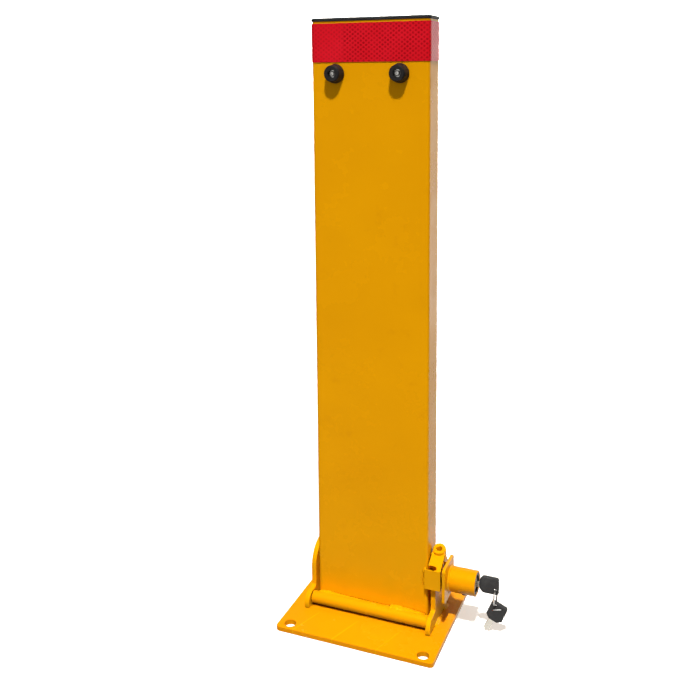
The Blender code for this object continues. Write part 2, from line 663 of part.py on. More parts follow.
def blade_outline():
    """Side view of a key blade: neck at x = 0, tip at -KEY_REACH, with cuts on its upper edge."""
    half = KEY_BLADE_HEIGHT / 2
    neck_half = 2.6 * MM
    cuts = 4
    first_cut = KEY_NECK + 1.6 * MM
    pitch = (KEY_REACH - first_cut - 2.2 * MM) / cuts
    points = [(-0.3 * MM, -neck_half), (-0.3 * MM, neck_half), (-KEY_NECK, neck_half), (-KEY_NECK, half)]
    for index in range(cuts):
        start = first_cut + index * pitch
        depth = (1.1 + 0.5 * sin(2.3 * index)) * MM
        points += [(-start, half), (-start - 0.35 * pitch, half - depth),
                   (-start - 0.65 * pitch, half - depth)]
    points += [(-KEY_REACH + 2.2 * MM, half), (-KEY_REACH, 0), (-KEY_REACH + 2.2 * MM, -half),
               (-KEY_NECK, -half), (-KEY_NECK, -neck_half)]
    return points


def bow_outline():
    """Side view of a key bow: a squarish grip from x = 0 to its length, cut off towards the neck."""
    half = BOW_HEIGHT / 2
    taper = 3.6 * MM
    points = arc(BOW_LENGTH - 2.5 * MM, half - 2.5 * MM, 2.5 * MM, 0, 90, 5)
    neck = ((MM, 5.5 * MM), (0, 4.2 * MM), (0, -4.2 * MM), (MM, -5.5 * MM))
    points += [(taper, half), *neck, (taper, -half)]
    points += arc(BOW_LENGTH - 2.5 * MM, -half + 2.5 * MM, 2.5 * MM, 270, 360, 5)
    return points


def make_key(prefix, frame, parent, steel, black):
    """Key in the XZ plane of a frame: the bow towards +X from the origin, the blade towards -X."""
    upright = frame @ Matrix.Rotation(pi / 2, 4, "X")
    blade = add_object(f"{prefix}_blade", extruded(blade_outline(), KEY_THICKNESS), steel,
                       upright @ move(z=-KEY_THICKNESS / 2), parent)
    soften(blade, 0.15 * MM, 1)
    bow_frame = upright @ move(y=BOW_OFFSET_Z)
    bow = add_object(f"{prefix}_bow", extruded(bow_outline(), BOW_THICKNESS), black,
                     bow_frame @ move(z=-BOW_THICKNESS / 2), parent)
    soften(bow, 0.7 * MM, 3)
    hole = rod(BOW_HOLE_RADIUS, -BOW_THICKNESS, BOW_THICKNESS, steps=24)
    place = move(BOW_LENGTH / 2 + BOW_HOLE_BACK, -BOW_HOLE_SIDE)
    boolean(bow, cutter(f"{prefix}_hole", hole, bow_frame @ place, parent))
    slit = box((-4.5 * MM, -0.7 * MM, -BOW_THICKNESS), (4.5 * MM, 0.7 * MM, 0.6 * MM - BOW_THICKNESS / 2))
    slit_turn = Matrix.Rotation(SPARE_KEY_LEAN - SLIT_LEAN, 4, "Z")
    slit_place = move(BOW_LENGTH / 2 + 3.6 * MM, -0.6 * MM) @ slit_turn
    boolean(bow, cutter(f"{prefix}_slit", slit, bow_frame @ slit_place, parent))


def keys(steel, black, plug_pivot):
    """The key in the plug, the ring through its bow, and the spare key that hangs from the ring."""
    neck_x = PLUG_FACE_X + KEY_NECK
    key_pivot = pivot("key_slide", (neck_x, LOCK_Y, LOCK_Z), plug_pivot)
    make_key("key", move(neck_x, LOCK_Y, LOCK_Z), key_pivot, steel, black)
    hole_x = neck_x + BOW_LENGTH / 2 + BOW_HOLE_BACK
    hole_z = LOCK_Z + BOW_OFFSET_Z - BOW_HOLE_SIDE
    bend = BOW_THICKNESS ** 2 / (8 * RING_RADIUS)
    slack = BOW_HOLE_RADIUS - RING_WIRE - FIT_GAP - bend
    ring_pivot = pivot("ring_swing", (hole_x, LOCK_Y, hole_z), key_pivot)
    ring_z = hole_z - slack - RING_RADIUS
    wire = arc(RING_RADIUS, 0, RING_WIRE, 0, 324, 9)
    add_object("key_ring", turned(wire, 40), steel, move(hole_x, LOCK_Y, ring_z) @ ALONG_X, ring_pivot)
    spare_z = ring_z - RING_RADIUS - slack
    spare_pivot = pivot("spare_swing", (hole_x, LOCK_Y, spare_z), ring_pivot)
    lean = Matrix.Rotation(-SPARE_KEY_LEAN, 4, "Y") @ Matrix.Rotation(pi, 4, "X")
    hole_in_key = move(BOW_LENGTH / 2 + BOW_HOLE_BACK, 0, BOW_OFFSET_Z - BOW_HOLE_SIDE)
    frame = move(hole_x, LOCK_Y, spare_z) @ lean @ hole_in_key.inverted()
    make_key("spare_key", frame, spare_pivot, steel, black)


def build():
    """Model the whole lock."""
    clear_scene()
    yellow = material("yellow_paint", (0.85, 0.38, 0.0), 0.35)
    black_rubber = material("black_rubber", (0.015, 0.015, 0.015), 0.7)
    black_plastic = material("black_plastic", (0.02, 0.02, 0.02), 0.45)
    red_tape = material("red_reflective", (0.62, 0.01, 0.02), 0.3)
    steel = material("zinc_steel", (0.7, 0.7, 0.7), 0.3, 1.0)
    brass = material("brass", (0.75, 0.6, 0.35), 0.3, 1.0)

    base_plate(yellow)
    ears(yellow)
    tack_welds(yellow)
    rear_stop(yellow)
    hinge_shaft(yellow)

    post_pivot = pivot("post_fold", (0, HINGE_Y, HINGE_Z))
    centre = move(y=POST_FRONT_Y + POST_DEPTH / 2)
    post_tube(yellow, post_pivot, centre)
    top_cap(black_plastic, post_pivot, centre)
    reflective_tape(red_tape, post_pivot, centre)
    bumpers(black_rubber, steel, post_pivot)
    hinge_barrel(yellow, post_pivot)
    latch_bracket(yellow, post_pivot)
    keeper(yellow, post_pivot)

    axis = move(y=LOCK_Y, z=LOCK_Z) @ ALONG_X
    lock_mounting(yellow, axis)
    core_set_screw(black_plastic, "lock_housing")
    lock_core(black_plastic, axis)
    plug_pivot = pivot("key_turn", (PLUG_FACE_X, LOCK_Y, LOCK_Z))
    lock_plug(brass, steel, axis, plug_pivot)
    bolt_pivot = pivot("bolt_slide", (BOLT_TIP_X, LOCK_Y, LOCK_Z))
    lock_bolt(steel, axis, bolt_pivot)
    keys(steel, black_plastic, plug_pivot)


build()
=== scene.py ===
"""Looks for the folding parking lock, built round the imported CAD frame. Metres, +Z up."""
import json
from math import acos, atan2, cos, hypot, pi, radians, sin

import bmesh
import bpy
from mathutils import Matrix, Vector, noise


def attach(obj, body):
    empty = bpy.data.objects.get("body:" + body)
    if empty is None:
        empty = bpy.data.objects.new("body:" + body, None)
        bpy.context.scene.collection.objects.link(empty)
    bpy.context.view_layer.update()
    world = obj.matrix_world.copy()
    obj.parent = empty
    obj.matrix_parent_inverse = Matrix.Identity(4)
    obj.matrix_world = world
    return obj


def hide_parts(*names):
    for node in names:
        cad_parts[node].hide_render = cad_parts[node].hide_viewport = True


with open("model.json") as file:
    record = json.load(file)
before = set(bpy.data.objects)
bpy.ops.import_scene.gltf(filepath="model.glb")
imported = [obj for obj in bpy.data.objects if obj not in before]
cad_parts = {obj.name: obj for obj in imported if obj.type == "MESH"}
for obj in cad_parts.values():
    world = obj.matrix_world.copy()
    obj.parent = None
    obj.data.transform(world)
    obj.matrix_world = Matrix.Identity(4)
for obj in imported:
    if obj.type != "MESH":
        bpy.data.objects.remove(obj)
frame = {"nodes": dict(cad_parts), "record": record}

MM = 0.001

# The powder coat's colours, as linear red, green and blue.
PAINT_YELLOW = (0.8, 0.356, 0.001)
COAT_DEEP = (0.81, 0.336, 0.001)
COAT_PALE = (0.86, 0.37, 0.001)
COAT_THIN = (0.68, 0.25, 0.001)
COAT_SPECK = (0.9, 0.5, 0.05)
# Painted highlight along the plate's ridges.
RIDGE_PAINTED_HIGHLIGHT = (0.86, 0.47, 0.002)
# Painted shade: the dark colour the coat takes in gaps and corners, where shade falls.
CREVICE_SHADE_COLOUR = (0.03, 0.006, 0.0005)

# Painted shade darkens the coat where the surface is open to less than the middle share below of what lies
# within its reach.
CREVICE_SHADE_REACH = 5 * MM
CREVICE_SHADE_NONE = 0.38
CREVICE_SHADE_FULL = 0.12

# Slanting ridges in the plate's coat, with a painted highlight along each: each a (place across the plate,
# half width), and where they end.
WIPE_ANGLE = radians(20)
WIPE_MARKS = ((-36 * MM, 0.9 * MM), (4 * MM, 1.1 * MM), (47.5 * MM, 0.8 * MM))
WIPE_FADE_Y = (-40 * MM, -30 * MM)

# The reflective film, in two lengths that meet at a seam: its cells' steps along and up, the radius of
# a cell's darkest part and of its edge, and a whole number of steps that keeps the sums positive.
FILM_SEAM_X = -26 * MM
FILM_PITCH = (5.5 * MM, 4.2 * MM)
FILM_CELL = (0.6 * MM, 1.4 * MM)
KEEP_POSITIVE = 20

# Light. The lamp grows brighter with distance, so that the post's foot is as bright as its top.
KEY_PLACE = (0.35, -0.91, 1.98)
KEY_POWER = 50.0
KEY_DISTANCE = 1.9
KEY_RADIUS = 0.07
SURROUND_STRENGTH = 0.27
REAR_GLOW = 3.0

# The rear glow comes from this part of the horizon: an axis, where it starts and where it is full.
REAR_WINDOWS = (("X", 0.0, -0.35), ("Y", 0.0, 0.35), ("Z", 0.45, 0.1), ("Z", -0.45, -0.1))

# The photograph's camera, fitted to the post's and the plate's straight edges.
CAMERA_PLACE = (0.3027, -0.8150, 0.5566)
CAMERA_AZIMUTH = radians(-21.95)
CAMERA_PITCH = radians(7.92)
CAMERA_ROLL = radians(-0.47)
CAMERA_LENS = 45.77
CAMERA_SENSOR = 36.0
CAMERA_SHIFT = -0.2144

# The floor and backdrop, in metres: a flat disc, a cove that curves up from it, a wall and a roof.
FLOOR_RADIUS = 5.0
COVE_RADIUS = 3.0
WALL_TOP = 9.0
ROOF_TOP = 13.0

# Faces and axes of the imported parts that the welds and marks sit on.
PLATE_TOP_Z = 5 * MM
POST_FRONT_Y = -12 * MM
EAR_OUTER_X = 68.3 * MM
BARREL_Y = -19.8 * MM
BARREL_Z = 12.6 * MM
BARREL_RADIUS = 6.2 * MM
BRACKET_LEFT_X = 57.8 * MM
LOCK_Y = 6.5 * MM
LOCK_Z = 48.7 * MM
HOUSING_RADIUS = 12.4 * MM
FLANGE_FACE_X = 79 * MM
NODES = frame["nodes"]
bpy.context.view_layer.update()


# Node helpers --------------------------------------------------------------------------------------

class Paint:
    """A Principled material and short ways to add nodes to it."""

    def __init__(self, name, colour, roughness, metallic=0.0, specular=0.5):
        self.material = bpy.data.materials.new(name)
        self.material.use_nodes = True
        self.tree = self.material.node_tree
        self.shader = self.tree.nodes["Principled BSDF"]
        self.set("Base Color", (*colour, 1.0))
        self.set("Roughness", roughness)
        self.set("Metallic", metallic)
        self.set("Specular IOR Level", specular)
        self.coords = self.tree.nodes.new("ShaderNodeTexCoord").outputs["Object"]

    def set(self, socket, value):
        self.shader.inputs[socket].default_value = value

    def put(self, socket, value):
        """Give a node's socket a number, a colour or another node's output."""
        if isinstance(value, bpy.types.NodeSocket):
            self.tree.links.new(value, socket)
        else:
            socket.default_value = value

    def noise(self, scale, detail=2.0, roughness=0.5, stretch=(1, 1, 1)):
        """Noise in object space, with a scale in features per metre along each axis."""
        mapping = self.tree.nodes.new("ShaderNodeMapping")
        mapping.inputs["Scale"].default_value = stretch
        self.tree.links.new(self.coords, mapping.inputs["Vector"])
        texture = self.tree.nodes.new("ShaderNodeTexNoise")
        texture.inputs["Scale"].default_value = scale
        texture.inputs["Detail"].default_value = detail
        texture.inputs["Roughness"].default_value = roughness
        self.tree.links.new(mapping.outputs["Vector"], texture.inputs["Vector"])
        return texture.outputs["Fac"]

    def speckle(self, scale, randomness=1.0):
        """Distance to the nearest of a field of scattered points, in object space."""
        texture = self.tree.nodes.new("ShaderNodeTexVoronoi")
        texture.inputs["Scale"].default_value = scale
        texture.inputs["Randomness"].default_value = randomness
        self.tree.links.new(self.coords, texture.inputs["Vector"])
        return texture.outputs["Distance"]

    def ramp(self, value, low, high, start=0.0, end=1.0):
        """Map a value from one range to another, clamped."""
        node = self.tree.nodes.new("ShaderNodeMapRange")
        self.put(node.inputs["Value"], value)
        node.inputs["From Min"].default_value = low
        node.inputs["From Max"].default_value = high
        node.inputs["To Min"].default_value = start
        node.inputs["To Max"].default_value = end
        return node.outputs["Result"]

    def math(self, operation, first, second=0.0):
        node = self.tree.nodes.new("ShaderNodeMath")
        node.operation = operation
        self.put(node.inputs[0], first)
        self.put(node.inputs[1], second)
        return node.outputs["Value"]

    def mix(self, share, first, second):
        """Blend two colours by a share."""
        node = self.tree.nodes.new("ShaderNodeMix")
        node.data_type = "RGBA"
        self.put(node.inputs["Factor"], share)
        for socket, colour in ((node.inputs[6], first), (node.inputs[7], second)):
            self.put(socket, (*colour, 1.0) if isinstance(colour, tuple) else colour)
        return node.outputs[2]

    def colour(self, output):
        self.tree.links.new(output, self.shader.inputs["Base Color"])

    def rough(self, output):
        self.tree.links.new(output, self.shader.inputs["Roughness"])

    def bump(self, *layers):
        """Stack bumps, each a (height output, depth in metres)."""
        previous = None
        for height, depth in layers:
            node = self.tree.nodes.new("ShaderNodeBump")
            node.inputs["Distance"].default_value = depth
            self.tree.links.new(height, node.inputs["Height"])
            if previous:
                self.tree.links.new(previous, node.inputs["Normal"])
            previous = node.outputs["Normal"]
        self.tree.links.new(previous, self.shader.inputs["Normal"])

    def axes(self, output=None):
        """Split a vector, by default the object-space position, into x, y and z."""
        node = self.tree.nodes.new("ShaderNodeSeparateXYZ")
        self.tree.links.new(output or self.coords, node.inputs["Vector"])
        return node.outputs["X"], node.outputs["Y"], node.outputs["Z"]

    def object_normal(self):
        node = self.tree.nodes.new("ShaderNodeTexCoord")
        return node.outputs["Normal"]

    def crevice_shade(self, reach):
        """Share of painted shade at a point, from ambient occlusion: 0 in the open and 1 deep in a gap."""
        node = self.tree.nodes.new("ShaderNodeAmbientOcclusion")
        node.samples = 8
        node.inputs["Distance"].default_value = reach
        return self.ramp(node.outputs["AO"], CREVICE_SHADE_FULL, CREVICE_SHADE_NONE, 1.0, 0.0)

    def band(self, value, middle, half_width):
        """1 in the middle of a band of values, fading to 0 at its edges."""
        offset = self.math("ABSOLUTE", self.math("SUBTRACT", value, middle))
        return self.ramp(offset, 0.0, half_width, 1.0, 0.0)


# Materials -----------------------------------------------------------------------------------------

def darkened_for_light(colour, depth):
    """Painted shade: take some green out of a yellow, none at a depth of 1 and more below it, for faces
    that catch more light.
    """
    red, green, blue = colour
    return red, green * depth, blue


def yellow_paint(name, wiped=False, glint=0.0, depth=1.0):
    """Gloss powder coat: orange peel, slow waves, dust specks, painted shade in the gaps, an uneven colour.
    """
    paint = Paint(name, PAINT_YELLOW, 0.24, specular=0.5)
    paint.set("Specular Tint", (1.0, 0.62, 0.01, 1.0))
    patches = paint.ramp(paint.noise(9.0, 3.0), 0.3, 0.7)
    # A depth below 1 makes this a painted-shade copy of the coat, for parts whose faces catch more of the
    # lamp.
    base = paint.mix(patches, darkened_for_light(COAT_DEEP, depth), darkened_for_light(COAT_PALE, depth))
    thin = paint.ramp(paint.noise(60.0, 4.0, 0.6), 0.62, 0.8)
    base = paint.mix(paint.math("MULTIPLY", thin, 0.35), base, COAT_THIN)
    specks = paint.ramp(paint.speckle(260.0), 0.04, 0.09, 1.0, 0.0)
    rare = paint.ramp(paint.noise(45.0, 1.0), 0.6, 0.66)
    specks = paint.math("MULTIPLY", specks, rare)
    base = paint.mix(paint.math("MULTIPLY", specks, 0.25), base, COAT_SPECK)
    waves = paint.noise(14.0, 1.0)
    orange_peel = paint.noise(620.0, 2.0)
    layers = [(waves, 1.2 * MM), (orange_peel, 0.04 * MM), (specks, 0.08 * MM)]
    if wiped:
        across, along, _ = paint.axes()
        slant = paint.math("SUBTRACT", paint.math("MULTIPLY", across, cos(WIPE_ANGLE)),
                           paint.math("MULTIPLY", along, sin(WIPE_ANGLE)))
        ridges = None
        for middle, half_width in WIPE_MARKS:
            ridge = paint.band(slant, middle, half_width)
            ridges = ridge if ridges is None else paint.math("MAXIMUM", ridges, ridge)
        ridges = paint.math("MULTIPLY", ridges, paint.ramp(along, *WIPE_FADE_Y, 1.0, 0.0))
        # Painted highlight: a lighter colour along each ridge, on top of the ridge's bump.
        base = paint.mix(paint.math("MULTIPLY", ridges, 0.55), base, RIDGE_PAINTED_HIGHLIGHT)
        layers.append((ridges, 0.2 * MM))
        fine = paint.noise(1.0, 3.0, 0.6, (240.0, 9.0, 9.0))
        layers.append((paint.ramp(fine, 0.5, 0.72), 0.05 * MM))
    # Painted shade: the coat turns dark where ambient occlusion finds a gap or a corner.
    paint.colour(paint.mix(paint.crevice_shade(CREVICE_SHADE_REACH), base, CREVICE_SHADE_COLOUR))
    paint.rough(paint.ramp(paint.noise(22.0, 5.0, 0.65), 0.25, 0.75, 0.17, 0.34))
    paint.bump(*layers)
    paint.set("Coat Weight", glint)
    paint.set("Coat Roughness", 0.12)
    return paint.material


def red_film():
    """Reflective film: staggered rows of dark cells in a lighter net, fainter left of the seam."""
    paint = Paint("red_reflective_film", (0.62, 0.012, 0.024), 0.22, specular=0.5)
    paint.set("Specular Tint", (1.0, 0.08, 0.12, 1.0))
    across, depth, up = paint.axes()
    facing = paint.axes(paint.object_normal())[0]
    on_side = paint.math("GREATER_THAN", paint.math("ABSOLUTE", facing), 0.7)
    along = paint.math("ADD", paint.math("MULTIPLY", across, paint.math("SUBTRACT", 1.0, on_side)),
                       paint.math("MULTIPLY", depth, on_side))
    nearest = None
    for shift in (0.0, 0.5):
        squares = []
        for value, step in zip((along, up), FILM_PITCH):
            cells = paint.math("ADD", paint.math("DIVIDE", value, step), shift + KEEP_POSITIVE)
            cell = paint.math("FRACT", cells)
            offset = paint.math("MULTIPLY", paint.math("SUBTRACT", cell, 0.5), step)
            squares.append(paint.math("MULTIPLY", offset, offset))
        length = paint.math("SQRT", paint.math("ADD", *squares))
        nearest = length if nearest is None else paint.math("MINIMUM", nearest, length)
    cell = paint.ramp(nearest, *FILM_CELL, 1.0, 0.0)
    newer = paint.ramp(across, FILM_SEAM_X, FILM_SEAM_X + 0.5 * MM, 0.5, 1.0)
    cell = paint.math("MULTIPLY", cell, newer)
    depth_noise = paint.ramp(paint.noise(90.0, 2.0), 0.35, 0.65, 0.55, 1.0)
    cloud = paint.ramp(paint.noise(18.0, 2.0), 0.35, 0.65)
    net = paint.mix(cloud, (0.68, 0.006, 0.014), (0.78, 0.01, 0.024))
    seam = paint.band(across, FILM_SEAM_X, 0.4 * MM)
    net = paint.mix(paint.math("MULTIPLY", seam, 0.5), net, (0.3, 0.001, 0.004))
    paint.colour(paint.mix(paint.math("MULTIPLY", cell, depth_noise), net, (0.33, 0.0006, 0.003)))
    paint.rough(paint.ramp(paint.noise(35.0, 4.0), 0.3, 0.7, 0.16, 0.32))
    paint.bump((cell, 0.05 * MM), (paint.noise(26.0, 2.0), 0.5 * MM))
    return paint.material


def black_moulded(name, colour, roughness, grain, depth):
    """Moulded plastic or rubber: fine spark texture, scuffs and a little dust."""
    paint = Paint(name, colour, roughness, specular=0.25)
    dust = paint.ramp(paint.noise(75.0, 5.0, 0.65), 0.5, 0.8)
    lighter = tuple(channel * 1.9 + 0.006 for channel in colour)
    paint.colour(paint.mix(dust, colour, lighter))
    paint.rough(paint.ramp(paint.noise(190.0, 3.0), 0.3, 0.7, roughness - 0.1, roughness + 0.12))
    paint.bump((paint.noise(grain, 3.0, 0.6), depth), (paint.noise(120.0, 2.0), 0.08 * MM))
    return paint.material


def bright_metal(name, colour, darker, roughness, stretch):
    """Plated or turned metal: brushed one way, with cloudy plating and fine scratches."""
    paint = Paint(name, colour, roughness, 1.0)
    cloud = paint.ramp(paint.noise(140.0, 3.0), 0.3, 0.7)
    paint.colour(paint.mix(cloud, darker, colour))
    brushed = paint.noise(1.0, 4.0, 0.7, stretch)
    paint.rough(paint.ramp(brushed, 0.3, 0.7, roughness - 0.09, roughness + 0.14))
    paint.bump((brushed, 0.03 * MM), (paint.noise(420.0, 2.0), 0.02 * MM))
    return paint.material


def white_line_colour():
    """White line on a key's grip, greyer in random patches."""
    white = (0.86, 0.86, 0.84)
    paint = Paint("white_line_colour", white, 0.5)
    greyer_patches = paint.ramp(paint.noise(900.0, 4.0), 0.6, 0.75)
    paint.colour(paint.mix(paint.math("MULTIPLY", greyer_patches, 0.5), white, (0.4, 0.4, 0.4)))
    paint.rough(paint.ramp(paint.noise(700.0), 0.3, 0.7, 0.4, 0.6))
    return paint.material


def dress_frame(paint):
    """Give every CAD node its finished material, and keep the plate's glow off the post."""
    # Painted shade: the plate's coat and the coat of the barrel and housing are darker copies, with less
    # green, because their upward faces catch more light.
    plate_paint = yellow_paint("yellow_plate_coat_painted_shade", wiped=True, depth=0.82)
    barrel_paint = yellow_paint("yellow_barrel_coat_painted_shade", depth=0.88)
    rubber = black_moulded("bumper_rubber", (0.012, 0.011, 0.012), 0.52, 1500.0, 0.06 * MM)
    plastic = black_moulded("cap_plastic", (0.014, 0.014, 0.015), 0.42, 2200.0, 0.04 * MM)
    grip = black_moulded("key_grip", (0.034, 0.034, 0.035), 0.5, 1900.0, 0.06 * MM)
    core = black_moulded("lock_core_black", (0.006, 0.006, 0.006), 0.4, 1200.0, 0.03 * MM)
    zinc = bright_metal("zinc_plate", (0.78, 0.78, 0.77), (0.62, 0.62, 0.6), 0.27,
                        (900.0, 900.0, 60.0))
    blade = bright_metal("nickel_silver", (0.86, 0.83, 0.76), (0.7, 0.66, 0.58), 0.22,
                         (60.0, 1400.0, 1400.0))
    brass = bright_metal("plug_brass", (0.4, 0.31, 0.19), (0.26, 0.18, 0.09), 0.32,
                         (1500.0, 300.0, 300.0))
    by_slot = {"yellow_paint": paint, "zinc_steel": zinc, "brass": brass, "black_rubber": rubber,
               "black_plastic": plastic, "red_reflective": red_film()}
    special = {"base_plate": plate_paint, "hinge_barrel": barrel_paint, "lock_housing": barrel_paint,
               "lock_core": core, "core_set_screw": core, "core_retaining_ring": core,
               "key_bow": grip, "spare_key_bow": grip, "key_blade": blade, "spare_key_blade": blade}
    slots = {part["node"]: part["material_slot"] for part in frame["record"]["subparts"]}
    for name, node in NODES.items():
        chosen = special.get(name) or by_slot[slots[name]]
        node.data.materials.clear()
        node.data.materials.append(chosen)
    NODES["base_plate"].visible_diffuse = False


# Welds and small pieces ----------------------------------------------------------------------------

def add_piece(name, tool, paint, body):
    """Turn a bmesh into a piece that rides on a CAD body."""
    bmesh.ops.recalc_face_normals(tool, faces=tool.faces[:])
    mesh = bpy.data.meshes.new(name)
    tool.to_mesh(mesh)
    tool.free()
    mesh.shade_smooth()
    mesh.materials.append(paint)
    piece = bpy.data.objects.new(name, mesh)
    bpy.context.scene.collection.objects.link(piece)
    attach(piece, body)
    return piece


def lofted(rings, closed=False):
    """Skin a row of rings with equal counts of points, with flat ends unless the row is closed."""
    tool = bmesh.new()
    loops = [[tool.verts.new(point) for point in ring] for ring in rings]
    count = len(rings[0])
    pairs = list(zip(loops, loops[1:]))
    if closed:
        pairs.append((loops[-1], loops[0]))
    for lower, upper in pairs:
        for index in range(count):
            following = (index + 1) % count
            tool.faces.new((lower[index], lower[following], upper[following], upper[index]))
    if not closed:
        tool.faces.new(loops[0])
        tool.faces.new(loops[-1])
    return tool


def interpolated(points, x):
    """Value at x of a line through (x, value) points."""
    for (low_x, low), (high_x, high) in zip(points, points[1:]):
        if x <= high_x:
            return low + (high - low) * (x - low_x) / (high_x - low_x)
    return points[-1][1]


def ripple(along, pitch, seed):
    """Puddle pattern of a hand-laid weld at a distance along it, roughly -1 to 1."""
    drift = noise.noise((along / (3.0 * pitch), seed, 0.5))
    return 0.6 * sin(2 * pi * (along / pitch + 0.7 * drift)) + 0.9 * noise.noise((along / pitch, seed, 4.5))


def barrel_weld(paint):
    """Hand-laid bead that runs the hinge barrel into the post's front, in two runs of unequal height.

    heights gives the bead's top edge on the post as (x, z) points in millimetres.
    """
    heights = ((-57.4, 17.0), (-54.0, 17.9), (-47.0, 18.4), (-38.0, 17.2), (-26.0, 16.7), (-14.0, 15.9),
               (0.0, 15.6), (12.0, 15.7), (20.4, 15.9), (21.9, 18.7), (30.0, 19.0), (37.0, 18.1),
               (45.0, 17.3), (52.0, 16.8), (57.4, 16.2))
    pitch = 3.4
    steps = 230
    bite = 0.1 * MM
    buried = 0.85 * BARREL_RADIUS
    under_barrel = (POST_FRONT_Y - 0.6 * MM, 14.2 * MM)
    length = heights[-1][0] - heights[0][0]
    rings = []
    for step in range(steps + 1):
        x = heights[0][0] + length * step / steps
        wave = ripple(x, pitch, 2.0)
        top = interpolated(heights, x) * MM + 0.3 * MM * wave
        to_y = POST_FRONT_Y - BARREL_Y
        to_z = top - BARREL_Z
        touch = atan2(to_z, to_y) + acos(BARREL_RADIUS / hypot(to_y, to_z))
        foot = (BARREL_Y + (BARREL_RADIUS - bite) * cos(touch),
                BARREL_Z + (BARREL_RADIUS - bite) * sin(touch))
        head = (POST_FRONT_Y + bite, top)
        swell = (0.32 + 0.2 * wave) * MM
        belly = []
        for share, bulge in ((0.3, 0.9), (0.7, 1.0)):
            y = head[0] + (foot[0] - head[0]) * share - 0.45 * swell * bulge
            z = head[1] + (foot[1] - head[1]) * share + 0.9 * swell * bulge
            belly.append((y, z))
        under = (BARREL_Y + buried * cos(touch), BARREL_Z + buried * sin(touch))
        outline = [(POST_FRONT_Y + 1.1 * MM, top - 1.2 * MM), head, *belly, foot, under, under_barrel]
        rings.append([(x * MM, y, z) for y, z in outline])
    piece = add_piece("barrel_weld_bead", lofted(rings), paint, "post")
    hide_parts("barrel_weld")


def corner_weld(node, body, start, end, legs, size, seed, paint):
    """Hand-laid bead along a straight corner, with a leg on each surface, in place of a CAD weld."""
    start = Vector(start)
    run = Vector(end) - start
    first, second = (Vector(leg) for leg in legs)
    pitch = 2.6 * MM
    sink = 0.7 * MM
    steps = max(12, round(run.length / (0.55 * MM)))
    rings = []
    for step in range(steps + 1):
        share = step / steps
        from_end = min(share, 1 - share) * run.length
        fade = min(1.0, 0.35 + from_end / (1.2 * size))
        wave = ripple(share * run.length, pitch, seed)
        reach = size * fade * (1 + 0.13 * wave)
        middle = 0.46 + 0.06 * wave
        outline = ((-sink, -sink), (reach, -sink), (reach, 0.0), (0.8 * reach, 0.17 * reach),
                   (middle * reach, middle * reach), (0.17 * reach, 0.8 * reach), (0.0, reach),
                   (-sink, reach))
        corner = start + run * share
        rings.append([corner + first * u + second * v for u, v in outline])
    piece = add_piece(f"{node}_bead", lofted(rings), paint, body)
    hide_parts(node)


def housing_weld(paint):
    """Bead round the foot of the lock housing, in place of the CAD ring."""
    pitch = 3.0 * MM
    sink = 0.5 * MM
    lip = 0.1 * MM
    steps = 110
    around = 2 * pi * HOUSING_RADIUS
    rings = []
    for step in range(steps):
        angle = 2 * pi * step / steps
        wave = ripple(around * step / steps, pitch, 9.0) * sin(pi * step / steps) ** 0.3
        size = (1.35 + 0.22 * wave) * MM
        outline = ((-sink, -sink), (size, -sink), (size, lip), (0.55 * size, 0.5 * size),
                   (lip, size), (-sink, size))
        rings.append([(FLANGE_FACE_X + along, LOCK_Y + (HOUSING_RADIUS + out) * cos(angle),
                       LOCK_Z + (HOUSING_RADIUS + out) * sin(angle)) for along, out in outline])
    piece = add_piece("housing_weld_bead", lofted(rings, closed=True), paint, "base")
    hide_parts("housing_weld")


def spatter(name, body, drops, paint):
    """Small lumps of weld spatter under the paint, each a (place, way out, radius), in millimetres."""
    tool = bmesh.new()
    for index, (place, out, radius) in enumerate(drops):
        turn = Vector(out).to_track_quat("Z", "Y").to_matrix().to_4x4()
        squash = Matrix.Diagonal((1.0, 0.85 + 0.05 * (index % 4), 0.62, 1.0))
        centre = Matrix.Translation(Vector(place) * MM)
        bmesh.ops.create_icosphere(tool, subdivisions=2, radius=radius * MM, matrix=centre @ turn @ squash)
    for vertex in tool.verts:
        vertex.co += vertex.normal * 0.08 * MM * noise.noise(vertex.co * 900)
    add_piece(name, tool, paint, body)


